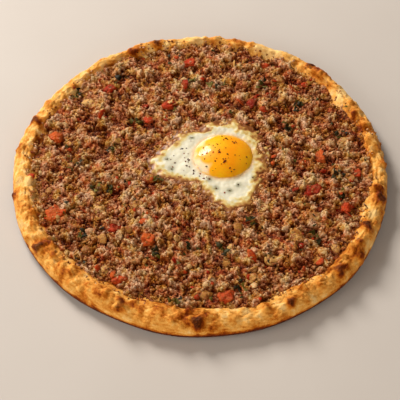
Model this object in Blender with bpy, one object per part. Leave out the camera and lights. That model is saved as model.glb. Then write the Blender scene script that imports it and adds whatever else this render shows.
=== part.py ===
"""Lahmacun: a thin round flatbread with a puffed rim, a layer of minced meat with chunks of
tomato and onion pressed into it, and one fried egg a little off the middle.

Metres, +Z up. The flat underside lies on z = 0 and the origin is under the middle of the bread.
Each piece is one closed solid, and pieces that touch keep a gap of GAP between them.
"""

import math

import bmesh
import bpy
from mathutils import Euler, Matrix, Vector

MM = 0.001
GAP = 0.3 * MM

# Bread: a flat base inside a raised rim
BREAD_RADIUS = 130.0 * MM
BASE_THICKNESS = 4.0 * MM
RIM_HEIGHT = 13.0 * MM
RIM_WIDTH = 14.5 * MM
RIM_WIDTH_SWING = 4.8 * MM
RIM_WIDEST_AT = 255.0
RIM_BELLY = 5.0 * MM
UNDER_TUCK = 3.5 * MM
UNDER_TUCK_TURNS = (60, 30)
TURN_STEPS = 80
RIM_STEPS = 10

# Minced meat: fills the bread up to part way over the rim's inner side
MINCE_SURFACE = 11.6 * MM
MINCE_RELIEF = 0.7 * MM
MINCE_EDGE_ANGLE = 126.0
MINCE_RINGS = 11
MINCE_SIDE_STEPS = 3
MINCE_SIDE_GAP = 1.3 * GAP
MINCE_EDGE_BLEND = 8

# Egg: an uneven pool of white with the yolk's oval dome standing in it
EGG_CENTRE = (16.0 * MM, 13.0 * MM)
WHITE_RADIUS = 31.0 * MM
# Lobes of the white: (direction in degrees, how far it ran out, width in degrees)
WHITE_LOBES = (
    (186.0, 16.0 * MM, 25.0),
    (143.0, 6.0 * MM, 15.0),
    (81.0, 6.0 * MM, 12.0),
    (-78.0, 14.5 * MM, 27.0),
    (0.0, 1.5 * MM, 20.0),
)
WHITE_BOTTOM = 6.5 * MM
WHITE_TOP = 11.8 * MM
WHITE_SIDE = ((0.93, WHITE_BOTTOM), (1.0, 8.3 * MM), (0.985, 10.2 * MM), (0.93, 11.0 * MM),
              (0.8, 11.3 * MM), (0.6, WHITE_TOP))
WELL_TOP = 20.0 * MM
EGG_STEPS = 48
YOLK_HALF = (21.5 * MM, 20.3 * MM)
YOLK_BOTTOM = 8.2 * MM
YOLK_BELLY = 11.4 * MM
YOLK_TOP = 18.9 * MM
YOLK_LENS = 1.4
YOLK_SEGMENTS = 28
YOLK_RINGS = 12

# Chunks: (x, y, width, depth, turn in degrees), lengths in millimetres
TOMATO_THICKNESS = 6.0 * MM
TOMATO_STANDS = 2.2 * MM
TOMATOES = (
    (-22, 62, 11, 9, 10),
    (-102, 32, 10, 11, -30),
    (-98, -35, 14, 12, 40),
    (-35, -57, 11, 10, -5),
    (77, -16, 12, 10, 15),
    (17, -104, 12, 10, 20),
    (99, -31, 10, 8, 70),
    (-58, -49, 9, 9, 30),
    (-66, 76, 10, 8, 35),
    (-8, 103, 10, 8, 0),
    (84, 15, 7, 11, 10),
    (-53, -90, 9, 8, -35),
)
ONION_THICKNESS = 4.0 * MM
ONION_STANDS = 1.5 * MM
ONIONS = (
    (47, -74, 9, 10, 30),
    (34, -89, 9, 8, 0),
    (-80, 64, 12, 9, -20),
    (-76, -66, 8, 7, 15),
    (-64, -82, 9, 8, 50),
    (-69, -32, 10, 9, 0),
    (3, -103, 9, 8, 0),
    (65, -56, 12, 10, 25),
    (78, -39, 12, 10, -15),
    (-43, -28, 10, 8, 20),
    (43, -30, 9, 9, 45),
    (57, 87, 9, 7, 0),
)
CHUNK_SEGMENTS = 8
CHUNK_RINGS = 5
CHUNK_SQUARENESS = 0.62
CHUNK_TILT = 5.0
SMOOTH_UNDER = 50.0


def wave(angle, count, peak):
    """A cosine with count waves around the circle and one crest at the peak angle in degrees."""
    return math.cos(count * (angle - math.radians(peak)))


def bread_edge(angle):
    """Outer radius of the bread: a circle pushed in and out by about a millimetre."""
    push = 0.45 * wave(angle, 3, 60) + 0.35 * wave(angle, 7, 10) + 0.3 * wave(angle, 12, 20)
    return BREAD_RADIUS + push * MM


def rim_width(angle):
    """Width of the rim: wide at the front left, narrow at the back, with puffs of dough."""
    puffs = 1.3 * wave(angle, 9, 25) + 0.9 * wave(angle, 16, 8)
    return RIM_WIDTH + RIM_WIDTH_SWING * wave(angle, 1, RIM_WIDEST_AT) + puffs * MM


def rim_height(angle):
    """Height of the rim's crest, which rises and falls with the puffs."""
    puffs = 0.6 * wave(angle, 5, 40) + 0.6 * wave(angle, 11, 5) + 0.5 * wave(angle, 19, 12)
    return RIM_HEIGHT + puffs * MM


def rim_arc(angle, lean, inset=0.0):
    """Point of the rim's upper half ellipse as (radius, height).

    The lean runs from 0 degrees on the outer side over the crest to 180 at the inner foot,
    and inset moves the point outwards from the dough, along the ellipse's own radii.
    """
    half = rim_width(angle) / 2
    lean = math.radians(lean)
    radius = bread_edge(angle) - half + (half + inset) * math.cos(lean)
    height = RIM_BELLY + (rim_height(angle) - RIM_BELLY + inset) * math.sin(lean)
    return radius, height


def mince_surface(x, y):
    """Height of the mince: nearly level, with low swells a few centimetres across."""
    swell = math.sin(x / (9 * MM) + 1.0) * math.sin(y / (11 * MM) + 0.4)
    drift = math.sin((x + y) / (21 * MM)) + math.cos((x - 2 * y) / (34 * MM))
    return MINCE_SURFACE + MINCE_RELIEF * (0.6 * swell + 0.35 * drift)


def white_edge(angle):
    """Radius of the egg white about the yolk's middle: a circle with lobes where it ran out.

    A lobe is size * exp(-(turn / width) ** 2), with the turn from its own direction.
    """
    reach = WHITE_RADIUS
    for direction, size, width in WHITE_LOBES:
        turn = (math.degrees(angle) - direction + 180.0) % 360.0 - 180.0
        reach += size * math.exp(-((turn / width) ** 2))
    return reach


def material(name, colour, roughness):
    """A Principled material with one colour and roughness."""
    made = bpy.data.materials.new(name)
    made.use_nodes = True
    shader = made.node_tree.nodes["Principled BSDF"]
    shader.inputs["Base Color"].default_value = (*colour, 1.0)
    shader.inputs["Roughness"].default_value = roughness
    shader.inputs["Metallic"].default_value = 0.0
    return made


def add_object(name, shape, collection, finish=None):
    """Put a finished bmesh into an object of the collection."""
    bmesh.ops.recalc_face_normals(shape, faces=shape.faces)
    mesh = bpy.data.meshes.new(name)
    shape.to_mesh(mesh)
    shape.free()
    made = bpy.data.objects.new(name, mesh)
    collection.objects.link(made)
    if finish is None:
        made.hide_render = True
        made.display_type = "WIRE"
    else:
        mesh.materials.append(finish)
        mesh.shade_smooth()
        mesh.set_sharp_from_angle(angle=math.radians(SMOOTH_UNDER))
    return made


def turned(profile, steps):
    """Turn a profile once round Z, then move each vertex to its own place.

    The profile is a list of functions of the angle that return (radius, height), from the foot
    of the axis outwards, up, and back in to the axis. The first and last give radius 0.
    """
    shape = bmesh.new()
    nominal = [shape.verts.new((point(0.0)[0], 0.0, index)) for index, point in enumerate(profile)]
    edges = [shape.edges.new(pair) for pair in zip(nominal, nominal[1:])]
    bmesh.ops.spin(
        shape, geom=nominal + edges, cent=(0, 0, 0), axis=(0, 0, 1),
        angle=2 * math.pi, steps=steps, use_merge=True,
    )
    bmesh.ops.remove_doubles(shape, verts=shape.verts, dist=0.01 * MM)
    for vert in shape.verts:
        angle = math.atan2(vert.co.y, vert.co.x)
        radius, height = profile[round(vert.co.z)](angle)
        vert.co = Vector((radius * math.cos(angle), radius * math.sin(angle), height))
    return shape


def fixed(radius, height):
    """A profile point that is the same all the way round."""
    return lambda angle: (radius, height)


def bread_shape():
    """The bread: a flat underside, a tucked lower edge, the rim's arc and a flat floor."""
    profile = [fixed(0.0, 0.0), lambda angle: (bread_edge(angle) - UNDER_TUCK, 0.0)]
    for tuck in UNDER_TUCK_TURNS:
        turn = math.radians(tuck)
        profile.append(
            lambda angle, turn=turn: (
                bread_edge(angle) - UNDER_TUCK * (1 - math.cos(turn)),
                RIM_BELLY * (1 - math.sin(turn)),
            )
        )
    for step in range(RIM_STEPS + 1):
        profile.append(lambda angle, lean=180.0 * step / RIM_STEPS: rim_arc(angle, lean))
    profile.append(lambda angle: (rim_arc(angle, 180.0)[0], BASE_THICKNESS))
    profile.append(fixed(0.0, BASE_THICKNESS))
    return turned(profile, TURN_STEPS)


def mince_shape():
    """The mince: a flat bottom on the bread, a side that follows the rim, an uneven top."""
    floor = BASE_THICKNESS + GAP
    profile = [fixed(0.0, floor), lambda angle: (rim_arc(angle, 180.0, MINCE_SIDE_GAP)[0], floor)]
    for step in range(MINCE_SIDE_STEPS + 1):
        lean = 180.0 - (180.0 - MINCE_EDGE_ANGLE) * step / MINCE_SIDE_STEPS
        profile.append(lambda angle, lean=lean: rim_arc(angle, lean, MINCE_SIDE_GAP))
    edge = profile[-1]

    def ring(share):
        def point(angle):
            radius = edge(angle)[0] * share
            level = mince_surface(radius * math.cos(angle), radius * math.sin(angle))
            near_edge = share ** MINCE_EDGE_BLEND
            return radius, level * (1 - near_edge) + edge(angle)[1] * near_edge
        return point

    for step in range(MINCE_RINGS - 1, 0, -1):
        profile.append(ring(step / MINCE_RINGS))
    profile.append(fixed(0.0, mince_surface(0.0, 0.0)))
    return turned(profile, TURN_STEPS)


def moved_to_egg(shape):
    """Move a shape modelled round the origin to the egg's place."""
    bmesh.ops.translate(shape, verts=shape.verts, vec=(*EGG_CENTRE, 0.0))
    return shape


def white_shape():
    """The egg white: a pool with a rounded edge that rises gently towards the yolk."""
    profile = [fixed(0.0, WHITE_BOTTOM)]
    for share, height in WHITE_SIDE:
        profile.append(lambda angle, share=share, height=height: (share * white_edge(angle), height))
    profile.append(fixed(0.0, WHITE_TOP))
    return moved_to_egg(turned(profile, EGG_STEPS))


def well_shape():
    """The hollow the egg lies in: the egg white's outline, straight up through the mince."""
    bottom = WHITE_BOTTOM - GAP
    profile = [
        fixed(0.0, bottom),
        lambda angle: (white_edge(angle) + GAP, bottom),
        lambda angle: (white_edge(angle) + GAP, WELL_TOP),
        fixed(0.0, WELL_TOP),
    ]
    return moved_to_egg(turned(profile, EGG_STEPS))


def yolk_shape(extra=0.0):
    """The yolk: an oval lens, its top a soft dome over a shallower belly, grown by extra.

    A ball's height is raised to the power YOLK_LENS, which flattens it towards its rim.
    """
    shape = bmesh.new()
    bmesh.ops.create_uvsphere(
        shape, u_segments=YOLK_SEGMENTS, v_segments=YOLK_RINGS, radius=1.0)
    above = YOLK_TOP - YOLK_BELLY + extra
    below = YOLK_BELLY - YOLK_BOTTOM + extra
    for vert in shape.verts:
        x, y, z = vert.co
        flat = math.copysign(abs(z) ** YOLK_LENS, z)
        vert.co.x = x * (YOLK_HALF[0] + extra)
        vert.co.y = y * (YOLK_HALF[1] + extra)
        vert.co.z = YOLK_BELLY + flat * (above if z > 0 else below)
    return moved_to_egg(shape)


def chunk_shape(place, thickness, stands, extra=0.0):
    """A diced chunk: a ball pushed out towards its box's corners, grown by extra."""
    x, y, width, depth, turn = place
    shape = bmesh.new()
    bmesh.ops.create_uvsphere(
        shape, u_segments=CHUNK_SEGMENTS, v_segments=CHUNK_RINGS, radius=1.0)
    half = Vector((width * MM, depth * MM, thickness)) / 2 + Vector((extra, extra, extra))
    for vert in shape.verts:
        for axis in range(3):
            part = vert.co[axis]
            squared = math.copysign(abs(part) ** CHUNK_SQUARENESS, part) if abs(part) > 1e-6 else 0.0
            vert.co[axis] = squared * half[axis]
    middle = mince_surface(x * MM, y * MM) + stands - thickness / 2
    lean = (CHUNK_TILT * math.sin(x), CHUNK_TILT * math.cos(y), turn)
    tilt = Euler([math.radians(angle) for angle in lean])
    place_matrix = Matrix.Translation((x * MM, y * MM, middle)) @ tilt.to_matrix().to_4x4()
    bmesh.ops.transform(shape, matrix=place_matrix, verts=shape.verts)
    return shape


def cut(target, cutter):
    """Take the cutter's volume out of the target with an exact Boolean."""
    hollow = target.modifiers.new(cutter.name, "BOOLEAN")
    hollow.operation = "DIFFERENCE"
    hollow.solver = "EXACT"
    hollow.object = cutter


def centred(shape):
    """Move the bread so that its box is centred on the origin, and return the move."""
    low = Vector((min(v.co.x for v in shape.verts), min(v.co.y for v in shape.verts), 0.0))
    high = Vector((max(v.co.x for v in shape.verts), max(v.co.y for v in shape.verts), 0.0))
    move = -(low + high) / 2
    bmesh.ops.translate(shape, verts=shape.verts, vec=move)
    return move


def build():
    for old in list(bpy.data.objects):
        bpy.data.objects.remove(old, do_unlink=True)
    parts = bpy.data.collections.new("lahmacun")
    cutters = bpy.data.collections.new("cutters")
    bpy.context.scene.collection.children.link(parts)
    bpy.context.scene.collection.children.link(cutters)

    crust = material("crust", (0.72, 0.38, 0.12), 0.6)
    meat = material("mince", (0.30, 0.13, 0.07), 0.5)
    white = material("egg_white", (0.86, 0.84, 0.72), 0.3)
    yolk = material("egg_yolk", (0.95, 0.48, 0.02), 0.2)
    red = material("tomato", (0.62, 0.13, 0.05), 0.35)
    pale = material("onion", (0.66, 0.45, 0.27), 0.35)

    bread = bread_shape()
    move = centred(bread)
    add_object("dough", bread, parts, crust)

    layer = mince_shape()
    bmesh.ops.translate(layer, verts=layer.verts, vec=move)
    mince = add_object("mince", layer, parts, meat)
    cut(mince, add_object("cut_egg", well_shape(), cutters))

    egg_white = add_object("egg_white", white_shape(), parts, white)
    cut(egg_white, add_object("cut_yolk", yolk_shape(GAP), cutters))
    add_object("egg_yolk", yolk_shape(), parts, yolk)

    kinds = (
        ("tomato", TOMATOES, TOMATO_THICKNESS, TOMATO_STANDS, red),
        ("onion", ONIONS, ONION_THICKNESS, ONION_STANDS, pale),
    )
    for kind, places, thickness, stands, finish in kinds:
        for number, place in enumerate(places, start=1):
            name = f"{kind}_{number}"
            add_object(name, chunk_shape(place, thickness, stands), parts, finish)
            pocket = chunk_shape(place, thickness, stands, GAP)
            cut(mince, add_object(f"cut_{name}", pocket, cutters))


build()
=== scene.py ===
# %% [markdown]
# # A lahmacun with a fried egg
#
# A lahmacun is a thin round bread, baked with minced meat, tomato, onion and parsley on it.
# This one carries an egg. The lesson builds its look piece by piece around a fixed frame of
# plain solids: a browned rim, thousands of meat crumbs, the egg, and the diced vegetables.
# Every shape is a function on a grid, worked out with numpy as whole arrays.

# %% Load the fixed frame
import math

import bpy
import numpy as np
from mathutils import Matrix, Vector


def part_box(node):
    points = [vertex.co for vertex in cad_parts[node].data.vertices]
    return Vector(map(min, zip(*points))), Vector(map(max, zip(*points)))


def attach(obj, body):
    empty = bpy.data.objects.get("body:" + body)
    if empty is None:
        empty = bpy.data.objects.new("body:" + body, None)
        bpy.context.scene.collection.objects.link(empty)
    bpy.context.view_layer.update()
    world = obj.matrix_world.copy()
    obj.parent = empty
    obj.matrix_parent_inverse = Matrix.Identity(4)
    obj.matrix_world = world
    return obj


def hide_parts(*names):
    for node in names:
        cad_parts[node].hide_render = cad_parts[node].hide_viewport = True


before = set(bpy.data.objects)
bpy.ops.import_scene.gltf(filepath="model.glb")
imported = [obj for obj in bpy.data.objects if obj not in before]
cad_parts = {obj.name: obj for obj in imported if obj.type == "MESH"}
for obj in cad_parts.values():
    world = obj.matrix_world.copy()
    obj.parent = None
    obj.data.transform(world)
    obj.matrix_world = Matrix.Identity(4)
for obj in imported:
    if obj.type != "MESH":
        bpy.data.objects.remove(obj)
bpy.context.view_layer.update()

MM = 0.001
bread_low, bread_high = (np.array(corner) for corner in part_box("dough"))
print("bread box in mm:", ((bread_high - bread_low) / MM).round(1))

# %% [markdown]
# ## Camera, floor and light
#
# Food like this is lit by one large soft window, low and behind the dish. Its light skims over
# the crumbs, so each one gets a bright back and a dark front, and the yolk shows the window as
# a small bright patch. A long lens from about fifty degrees keeps the round nearly an ellipse.
# A weak even sky fills the shadows.

# %% Camera, floor and light
VIEW_ELEVATION = math.radians(52.3)
VIEW_DISTANCE = 1.05
VIEW_TARGET = (-0.0003, -0.0189, 0.004)
WINDOW_FROM = (-0.485, 0.709, 0.56)
WINDOW_DISTANCE = 1.7
WINDOW_SIZE = 0.6

scene = bpy.context.scene
scene.view_settings.view_transform = "Standard"

camera = bpy.data.objects.new("camera", bpy.data.cameras.new("camera"))
camera.data.lens = 137.25
camera.data.clip_start = 0.01
camera.location = (
    VIEW_TARGET[0],
    VIEW_TARGET[1] - VIEW_DISTANCE * math.cos(VIEW_ELEVATION),
    VIEW_TARGET[2] + VIEW_DISTANCE * math.sin(VIEW_ELEVATION),
)
camera.rotation_euler = (math.pi / 2 - VIEW_ELEVATION, 0, 0)
scene.collection.objects.link(camera)
scene.camera = camera


def area_light(name, direction, distance, size, power, colour):
    """A square light that looks at the middle of the bread from a direction."""
    data = bpy.data.lights.new(name, "AREA")
    data.size = size
    data.energy = power
    data.color = colour
    light = bpy.data.objects.new(name, data)
    offset = np.array(direction) / np.linalg.norm(direction) * distance
    light.location = offset
    light.rotation_euler = light.location.to_track_quat("Z", "Y").to_euler()
    scene.collection.objects.link(light)
    return light


area_light("window", WINDOW_FROM, WINDOW_DISTANCE, WINDOW_SIZE, 39.5, (1.0, 0.965, 0.91))
area_light("side fill", (-1.0, -0.4, 0.5), 1.2, 0.8, 6.0, (1.0, 0.98, 0.95))
bounce = area_light("front bounce", (0.15, -1.0, 0.3), 1.4, 1.0, 8.5, (1.0, 0.93, 0.84))
bounce.visible_glossy = False

world = bpy.data.worlds.new("studio")
world.use_nodes = True
world.node_tree.nodes["Background"].inputs["Color"].default_value = (1.0, 0.89, 0.78, 1)
world.node_tree.nodes["Background"].inputs["Strength"].default_value = 0.22
scene.world = world

bpy.ops.mesh.primitive_plane_add(size=6.0)
floor = bpy.context.object
floor.name = "floor"
print("camera", tuple(round(v, 3) for v in camera.location))

# %% [markdown]
# ## Tools for materials
#
# A finish is a small network of nodes. `Finish` keeps the network short to write: each call
# adds one node, links what is given as another node's output and sets what is a plain value.

# %% Tools for materials


class Finish:
    """A material under construction, with one Principled shader."""

    def __init__(self, name, **settings):
        self.material = bpy.data.materials.new(name)
        self.material.use_nodes = True
        self.tree = self.material.node_tree
        self.shader = self.tree.nodes["Principled BSDF"]
        self.place = self.add("ShaderNodeTexCoord").outputs["Object"]
        for key, value in settings.items():
            self.shader.inputs[key.replace("_", " ")].default_value = value

    def add(self, kind, inputs=None, **settings):
        """Add a node, set its own settings, and link or set its inputs by name or number."""
        node = self.tree.nodes.new(kind)
        for key, value in settings.items():
            setattr(node, key, value)
        for key, value in (inputs or {}).items():
            if isinstance(value, bpy.types.NodeSocket):
                self.tree.links.new(value, node.inputs[key])
            else:
                node.inputs[key].default_value = value
        return node

    def link(self, socket, name):
        """Link a socket to the shader's input of that name."""
        self.tree.links.new(socket, self.shader.inputs[name])

    def noise(self, size, detail=3.0, roughness=0.55, stretch=(1, 1, 1)):
        """Noise of about 0 to 1 on the object's own coordinates, its lumps about size long."""
        where = self.add("ShaderNodeMapping", {"Vector": self.place, "Scale": stretch})
        inputs = {"Vector": where.outputs["Vector"], "Scale": 1.0 / size, "Detail": detail,
                  "Roughness": roughness}
        return self.add("ShaderNodeTexNoise", inputs).outputs["Fac"]

    def knobs(self, size, bend=0.35):
        """Rounded knobs about size across: 1 on each knob's top, 0 in the creases between."""
        bent = self.add("ShaderNodeTexNoise", {"Vector": self.place, "Scale": 0.7 / size})
        shift = self.add("ShaderNodeVectorMath", {0: bent.outputs["Color"], 3: bend * size * 3},
                         operation="SCALE")
        where = self.add("ShaderNodeVectorMath", {0: self.place, 1: shift.outputs[0]})
        cell = self.add("ShaderNodeTexVoronoi", {"Vector": where.outputs[0], "Scale": 1.0 / size,
                                                 "Detail": 1.0, "Roughness": 0.6})
        away = cell.outputs["Distance"]
        return self.math("SUBTRACT", 1.0, self.math("MULTIPLY", away, away), clamp=True)

    def attribute(self, name):
        """A number stored at each vertex."""
        return self.add("ShaderNodeAttribute", attribute_name=name).outputs["Fac"]

    def math(self, operation, first, second=0.0, clamp=False):
        """One sum on two sockets or numbers."""
        node = self.add("ShaderNodeMath", {0: first, 1: second}, operation=operation)
        node.use_clamp = clamp
        return node.outputs[0]

    def centred(self, noise, spread):
        """Noise of 0 to 1 moved to spread evenly round 0."""
        return self.math("MULTIPLY", self.math("SUBTRACT", noise, 0.5), spread)

    def ramp(self, value, stops):
        """Colours along a number: stops are (position, colour as a hex word)."""
        node = self.add("ShaderNodeValToRGB", {"Fac": value})
        elements = node.color_ramp.elements
        while len(elements) < len(stops):
            elements.new(0.5)
        for element, (position, colour) in zip(elements, stops):
            element.position = position
            element.color = linear(colour)
        return node.outputs["Color"]

    def mix(self, amount, first, second, blend="MIX"):
        """Mix two colours by an amount."""
        node = self.add("ShaderNodeMix", data_type="RGBA", blend_type=blend)
        for socket, value in ((node.inputs[0], amount), (node.inputs[6], first),
                              (node.inputs[7], second)):
            if isinstance(value, bpy.types.NodeSocket):
                self.tree.links.new(value, socket)
            else:
                socket.default_value = linear(value) if isinstance(value, str) else value
        return node.outputs[2]

    def bump(self, height, distance, strength=1.0):
        """Raise the surface by a height of 0 to 1 times a distance in metres."""
        inputs = {"Height": height, "Distance": distance, "Strength": strength}
        self.link(self.add("ShaderNodeBump", inputs).outputs["Normal"], "Normal")


def linear(word):
    """The colour of a six-digit hex word, as linear red, green, blue and alpha."""
    parts = np.array([int(word[i:i + 2], 16) for i in (0, 2, 4)]) / 255.0
    low = parts / 12.92
    high = ((parts + 0.055) / 1.055) ** 2.4
    return (*np.where(parts < 0.04045, low, high), 1.0)


tabletop = Finish("pale tabletop", Roughness=0.75)
tone = tabletop.ramp(tabletop.noise(0.25, 4.0), [(0.3, "C0B6AD"), (0.7, "C8BFB6")])
tabletop.link(tone, "Base Color")
floor.data.materials.append(tabletop.material)
print("floor finish:", tabletop.material.name)

# %% [markdown]
# ## Tools for shapes
#
# Everything here is a grid of points bent into shape. Rows run from one pole to the other and
# each row closes on itself, so a grid with poles is always a closed skin, whether it is the
# whole bread or one crumb. The random field is a sum of cosine waves that run in random
# directions: it is smooth, quick on whole arrays, and the same in every run.

# %% Tools for shapes


def waves(points, size, seed, count=24):
    """Smooth random field: many cosines in random directions, each wave about size long,
    summed and divided so that the field spreads about 0.7 each way round 0."""
    draw = np.random.default_rng(seed)
    direction = draw.normal(size=(points.shape[-1], count))
    direction /= np.linalg.norm(direction, axis=0)
    direction *= 2 * np.pi / size * draw.uniform(0.6, 1.5, count)
    return np.cos(points @ direction + draw.uniform(0, 2 * np.pi, count)).sum(-1) / np.sqrt(count)


def fraction(cube, seed):
    """A random-looking number of 0 to 1 for each cube: the fraction of a large sine."""
    weights = np.array([127.1, 311.7, 74.7])[:cube.shape[-1]]
    return np.sin(cube @ weights + 12.9 * seed) * 43758.5453 % 1


def cells(points, size, seed):
    """Nearest of many scattered seeds: its distance over the size, the next one's, its number.

    Space is cut into cubes as long as the size, with a seed at a random place in each one. The
    point's own cube and all its neighbours are searched.
    """
    points = points / size
    nearest = np.full(points.shape[:-1], 9.0)
    second = nearest.copy()
    owner = np.zeros_like(nearest)
    for step in np.ndindex(*[3] * points.shape[-1]):
        cube = np.floor(points) + step - 1.0
        spot = np.stack([fraction(cube, seed + axis) for axis in range(points.shape[-1])], -1)
        away = np.linalg.norm(points - cube - spot, axis=-1)
        closer = away < nearest
        second = np.where(closer, nearest, np.minimum(second, away))
        owner = np.where(closer, fraction(cube, seed + 7), owner)
        nearest = np.where(closer, away, nearest)
    return nearest, second, owner


def smooth_step(value, low, high):
    """0 below low, 1 above high, and an S curve between: 3t^2 - 2t^3."""
    t = np.clip((value - low) / (high - low), 0, 1)
    return t * t * (3 - 2 * t)


def shell_faces(rows, around):
    """Faces of a closed grid: rows rings of vertices between two poles, around to a ring.

    Vertex 0 is the first pole, then come the rings, and the last vertex is the other pole.
    Returns quads, triangles, and the places of their corners in a unit square.
    """
    ring, side = np.meshgrid(np.arange(rows - 1), np.arange(around), indexing="ij")
    ring, side = ring.ravel(), side.ravel()
    here = 1 + ring * around + side
    beside = 1 + ring * around + (side + 1) % around
    quads = np.stack([here, here + around, beside + around, beside], 1)
    low, high = (ring + 1) / (rows + 1), (ring + 2) / (rows + 1)
    left, right = side / around, (side + 1) / around
    quad_places = np.stack([np.stack([left, low], 1), np.stack([left, high], 1),
                            np.stack([right, high], 1), np.stack([right, low], 1)], 1)
    turn = np.arange(around)
    after = (turn + 1) % around
    last = 1 + (rows - 1) * around
    pole = last + around
    first_fan = np.stack([0 * turn, 1 + turn, 1 + after], 1)
    last_fan = np.stack([0 * turn + pole, last + after, last + turn], 1)
    left, right = turn / around, (turn + 1) / around
    middle = (left + right) / 2
    near, far = 1 / (rows + 1) + 0 * left, rows / (rows + 1) + 0 * left
    first_places = np.stack([np.stack([middle, 0 * left], 1), np.stack([left, near], 1),
                             np.stack([right, near], 1)], 1)
    last_places = np.stack([np.stack([middle, 0 * left + 1], 1), np.stack([right, far], 1),
                            np.stack([left, far], 1)], 1)
    triangles = np.concatenate([first_fan, last_fan])
    return quads, triangles, [quad_places, np.concatenate([first_places, last_places])]


def with_poles(rings, first_pole, last_pole):
    """The rings' points or numbers as one list, with a pole's before and the other's after."""
    tail = rings.shape[2:]
    return np.concatenate([np.reshape(first_pole, (1, *tail)), rings.reshape(-1, *tail),
                           np.reshape(last_pole, (1, *tail))])


def signed_volume(points, triangles):
    """Sum of the tetrahedra from the origin to each triangle: positive if faces point out."""
    a, b, c = (points[triangles[:, i]] for i in range(3))
    return np.einsum("ij,ij->", a, np.cross(b, c)) / 6


def make_piece(name, points, quads, triangles, finish, attributes=None, places=None):
    """Build a mesh object at the origin, facing outwards, riding on the food's one body."""
    split = np.concatenate([quads[:, [0, 1, 2]], quads[:, [0, 2, 3]], triangles])
    if signed_volume(points, split) < 0:
        quads, triangles = quads[:, ::-1], triangles[:, ::-1]
        places = [part[:, ::-1] for part in places] if places else None
    mesh = bpy.data.meshes.new(name)
    mesh.from_pydata(points.tolist(), [], quads.tolist() + triangles.tolist())
    for key, values in (attributes or {}).items():
        mesh.attributes.new(key, "FLOAT", "POINT").data.foreach_set("value", values.astype(np.float32))
    if places:
        layer = mesh.uv_layers.new(name="OFBake")
        corners = np.concatenate([part.reshape(-1, 2) for part in places])
        layer.data.foreach_set("uv", corners.astype(np.float32).ravel())
    mesh.shade_smooth()
    mesh.materials.append(finish.material)
    piece = bpy.data.objects.new(name, mesh)
    scene.collection.objects.link(piece)
    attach(piece, "root")
    print(f"{name}: {len(points)} vertices, {len(split)} triangles")
    return piece


# %% [markdown]
# ## The bread's form
#
# The bread is a flat base inside a rim. The rim's section is a half ellipse, and its width and
# height change round the edge, because the dough puffed up unevenly: it is widest at the front
# left and thinnest at the back. Three short functions of the angle say all that. The mince,
# the crumbs and the blisters are placed with them too.

# %% The bread's form
BREAD_RADIUS = 130.0 * MM
BASE_THICKNESS = 4.0 * MM
RIM_BELLY = 5.0 * MM
UNDER_TUCK = 3.5 * MM


def wave(angle, count, peak):
    """A cosine with count waves round the circle and a crest at the peak, in degrees."""
    return np.cos(count * (angle - np.radians(peak)))


def bread_edge(angle):
    """Outer radius: a circle pushed in and out by about a millimetre."""
    push = 0.45 * wave(angle, 3, 60) + 0.35 * wave(angle, 7, 10) + 0.3 * wave(angle, 12, 20)
    return BREAD_RADIUS + push * MM


def rim_width(angle):
    """Rim width: 14.5 mm, 4.8 mm more at the front and less at the back, with puffs."""
    puffs = 1.3 * wave(angle, 9, 25) + 0.9 * wave(angle, 16, 8)
    return (14.5 + 4.8 * wave(angle, 1, 255) + puffs) * MM


def rim_height(angle):
    """Crest height: 13 mm with rises and falls where the dough puffed."""
    puffs = 0.6 * wave(angle, 5, 40) + 0.6 * wave(angle, 11, 5) + 0.5 * wave(angle, 19, 12)
    return (13.0 + puffs) * MM


def rim_arc(angle, lean, inset=0.0):
    """A point on the rim's half ellipse: lean 0 outside, 90 degrees on the crest, 180 inside."""
    half = rim_width(angle) / 2
    radius = bread_edge(angle) - half + (half + inset) * np.cos(lean)
    height = RIM_BELLY + (rim_height(angle) - RIM_BELLY + inset) * np.sin(lean)
    return radius, height


def mince_surface(x, y):
    """Height of the crumbs' tops: 11.6 mm with low swells a few centimetres across."""
    swell = np.sin(x / (9 * MM) + 1.0) * np.sin(y / (11 * MM) + 0.4)
    drift = np.sin((x + y) / (21 * MM)) + np.cos((x - 2 * y) / (34 * MM))
    return (11.6 + 0.7 * (0.6 * swell + 0.35 * drift)) * MM


around_once = np.linspace(0, 2 * np.pi, 720, endpoint=False)
print("rim width in mm:", (rim_width(around_once).min() / MM).round(1), "to",
      (rim_width(around_once).max() / MM).round(1))
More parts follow.
